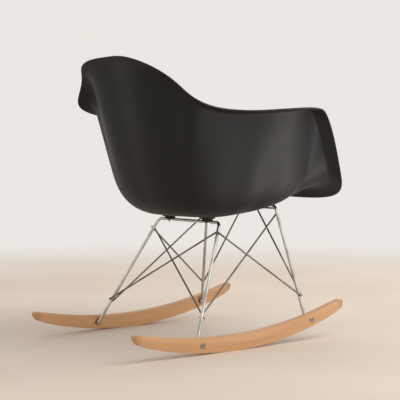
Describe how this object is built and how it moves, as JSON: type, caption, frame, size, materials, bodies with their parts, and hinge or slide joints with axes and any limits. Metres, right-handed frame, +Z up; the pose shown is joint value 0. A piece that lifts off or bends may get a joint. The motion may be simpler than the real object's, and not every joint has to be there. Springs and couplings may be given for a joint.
{
  "type": "rocking chair",
  "caption": "Moulded plastic armchair shell with a rolled edge on a braced bent-rod base, rubber shock mounts and curved wooden rockers.",
  "frame": {"origin": "on the floor, under the middle of the rockers' ends", "axes": "+Z up, -Y to the front of the chair, +X to the sitter's left"},
  "size_m": [0.666, 0.7247, 0.754],
  "materials": {
    "shell_plastic": "fine satin, charcoal black",
    "mount_rubber": "matte black",
    "chromed_rod": "bright chromed steel",
    "fastener_steel": "plated steel",
    "beech": "clear satin lacquer on beech"
  },
  "bodies": {
    "root": {"back_wire_left": "chromed_rod", "back_wire_right": "chromed_rod", "front_leg_frame": "chromed_rod", "front_spreader": "chromed_rod", "front_wire_left": "chromed_rod", "front_wire_right": "chromed_rod", "leg_boss_front_left": "fastener_steel", "leg_boss_front_right": "fastener_steel", "leg_boss_rear_left": "fastener_steel", "leg_boss_rear_right": "fastener_steel", "mount_screw_front_left": "fastener_steel", "mount_screw_front_right": "fastener_steel", "mount_screw_rear_left": "fastener_steel", "mount_screw_rear_right": "fastener_steel", "rear_leg_frame": "chromed_rod", "rocker_bolt_front_left": "fastener_steel", "rocker_bolt_front_right": "fastener_steel", "rocker_bolt_rear_left": "fastener_steel", "rocker_bolt_rear_right": "fastener_steel", "rocker_left": "beech", "rocker_right": "beech", "seat_shell": "shell_plastic", "shock_mount_front_left": "mount_rubber", "shock_mount_front_right": "mount_rubber", "shock_mount_rear_left": "mount_rubber", "shock_mount_rear_right": "mount_rubber", "side_wire_back_left": "chromed_rod", "side_wire_back_right": "chromed_rod", "side_wire_forward_left": "chromed_rod", "side_wire_forward_right": "chromed_rod"}
  },
  "joints": []
}
